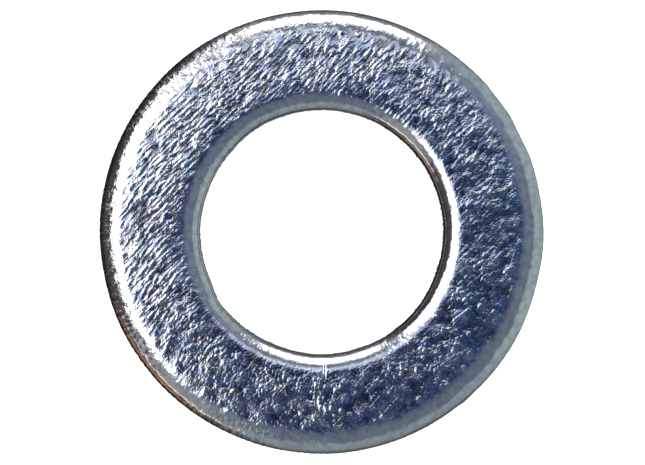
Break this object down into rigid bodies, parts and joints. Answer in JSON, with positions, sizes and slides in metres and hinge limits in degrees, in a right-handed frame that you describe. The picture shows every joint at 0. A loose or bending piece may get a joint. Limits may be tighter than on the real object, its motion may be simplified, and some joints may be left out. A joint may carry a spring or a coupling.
{
  "type": "flat washer",
  "caption": "Round flat washer in zinc-plated steel for an M6 bolt, with edges rolled over on the upper face.",
  "frame": {"origin": "centre of the bore, on the lower face that the washer rests on", "axes": "+Z along the bore's axis, from the lower face to the upper face with the rolled edges; X and Y are any two directions across the faces"},
  "size_m": [0.0118, 0.0118, 0.0016],
  "materials": {
    "zinc_plated_steel": "bright zinc plating with a blue passivated tint, streaked rolled grain on the faces and smooth rolled edges"
  },
  "bodies": {
    "root": {"washer": "zinc_plated_steel"}
  },
  "joints": []
}
